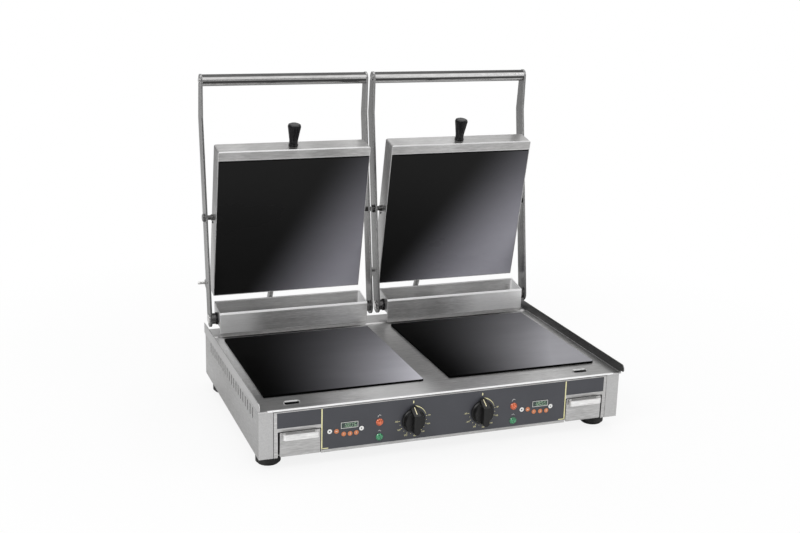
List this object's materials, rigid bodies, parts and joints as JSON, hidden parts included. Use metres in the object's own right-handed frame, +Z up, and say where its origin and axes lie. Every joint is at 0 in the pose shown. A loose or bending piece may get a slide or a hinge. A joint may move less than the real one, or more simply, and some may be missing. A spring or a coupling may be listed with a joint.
{
  "type": "contact grill",
  "caption": "Countertop double contact grill: low steel body with glass cooking plates, control panel and grease drawers, and hinged lids carrying pivoting upper plates.",
  "frame": {"origin": "on the standing surface, under the middle of the whole grill with its lids open; the body's own centre line is X = 0", "axes": "+Z up, +Y from the control panel towards the hinges, +X to the right as seen by the person in front"},
  "size_m": [0.7459, 0.612, 0.659],
  "materials": {
    "body_steel": "brushed stainless sheet",
    "worktop_steel": "brushed stainless sheet",
    "drawer_steel": "satin stainless sheet",
    "cover_steel": "brushed stainless sheet",
    "arm_steel": "brushed stainless bar and tube",
    "turned_steel": "bright turned steel",
    "conduit_metal": "wound metal conduit and fittings",
    "spring_steel": "hard drawn spring wire",
    "zinc_sheet": "zinc-plated sheet",
    "black_glass": "glossy black glass ceramic",
    "seal_rubber": "black silicone seal",
    "foot_rubber": "black rubber",
    "insulation": "pale mineral fibre board",
    "element_ribbon": "oxidised heating ribbon",
    "panel_film": "dark blue-grey printed film",
    "black_plastic": "black moulded phenolic",
    "dark_plastic": "black nylon",
    "orange_lens": "orange lamp lens",
    "green_lens": "green lamp lens",
    "display": "dark display window"
  },
  "bodies": {
    "chassis": {"base_pan": "body_steel", "conduit_glands": "conduit_metal", "conduit_left": "conduit_metal", "conduit_right": "conduit_metal", "control_overlay": "panel_film", "cord_gland": "dark_plastic", "drawer_guides": "zinc_sheet", "feet": "foot_rubber", "foot_screws": "turned_steel", "front_fascia": "body_steel", "glass_seals": "seal_rubber", "heater_elements": "element_ribbon", "heater_pans": "insulation", "hinge_bushes": "dark_plastic", "housing_pedestals": "cover_steel", "lower_glass_left": "black_glass", "lower_glass_right": "black_glass", "pilot_lamps_green": "green_lens", "pilot_lamps_orange": "orange_lens", "rear_panel": "body_steel", "side_panel_left": "body_steel", "side_panel_right": "body_steel", "spring_housing_left": "cover_steel", "spring_housing_right": "cover_steel", "terminal_block": "dark_plastic", "thermostats": "dark_plastic", "timer_modules": "display", "torsion_springs": "spring_steel", "worktop_tray": "worktop_steel"},
    "lid_left": {"arm_inner_left": "arm_steel", "arm_outer_left": "arm_steel", "handle_bar_left": "arm_steel", "axle_left": "turned_steel", "arm_fasteners_left": "turned_steel"},
    "plate_left": {"cover_left": "cover_steel", "upper_glass_left": "black_glass", "upper_heater_left": "insulation", "pivot_pins_left": "turned_steel", "grip_left": "black_plastic", "cover_gland_left": "conduit_metal"},
    "knob_body_left": {"knob_left": "black_plastic", "knob_shaft_left": "turned_steel"},
    "drawer_body_left": {"drawer_left": "drawer_steel", "drawer_handle_left": "drawer_steel"},
    "lid_right": {"arm_inner_right": "arm_steel", "arm_outer_right": "arm_steel", "handle_bar_right": "arm_steel", "axle_right": "turned_steel", "arm_fasteners_right": "turned_steel"},
    "plate_right": {"cover_right": "cover_steel", "upper_glass_right": "black_glass", "upper_heater_right": "insulation", "pivot_pins_right": "turned_steel", "grip_right": "black_plastic", "cover_gland_right": "conduit_metal"},
    "knob_body_right": {"knob_right": "black_plastic", "knob_shaft_right": "turned_steel"},
    "drawer_body_right": {"drawer_right": "drawer_steel", "drawer_handle_right": "drawer_steel"}
  },
  "joints": [
    {"name": "lid_hinge_left", "type": "hinge", "parent": "chassis", "child": "lid_left", "pos_m": [-0.1848, 0.157, 0.156], "axis": [1, 0, 0], "range_deg": [0, 98.4], "deforming": ["conduit_left"]},
    {"name": "plate_pivot_left", "type": "hinge", "parent": "lid_left", "child": "plate_left", "pos_m": [-0.1848, 0.18802, 0.366], "axis": [1, 0, 0], "range_deg": [-20.6, 0], "deforming": ["conduit_left"]},
    {"name": "lid_hinge_right", "type": "hinge", "parent": "chassis", "child": "lid_right", "pos_m": [0.1848, 0.157, 0.156], "axis": [1, 0, 0], "range_deg": [0, 98.4], "deforming": ["conduit_right"]},
    {"name": "plate_pivot_right", "type": "hinge", "parent": "lid_right", "child": "plate_right", "pos_m": [0.1848, 0.18802, 0.366], "axis": [1, 0, 0], "range_deg": [-20.6, 0], "deforming": ["conduit_right"]},
    {"name": "knob_turn_left", "type": "hinge", "parent": "chassis", "child": "knob_body_left", "pos_m": [-0.07, -0.281, 0.069], "axis": [0, 1, 0], "range_deg": [0, 280]},
    {"name": "drawer_slide_left", "type": "slide", "parent": "chassis", "child": "drawer_body_left", "axis": [0, -1, 0], "range_m": [0, 0.16]},
    {"name": "knob_turn_right", "type": "hinge", "parent": "chassis", "child": "knob_body_right", "pos_m": [0.07, -0.281, 0.069], "axis": [0, 1, 0], "range_deg": [0, 280]},
    {"name": "drawer_slide_right", "type": "slide", "parent": "chassis", "child": "drawer_body_right", "axis": [0, -1, 0], "range_m": [0, 0.16]}
  ],
  "couplings": [
    {"joint": "plate_pivot_left", "follows": "lid_hinge_left", "ratio": -0.208},
    {"joint": "plate_pivot_right", "follows": "lid_hinge_right", "ratio": -0.208}
  ]
}
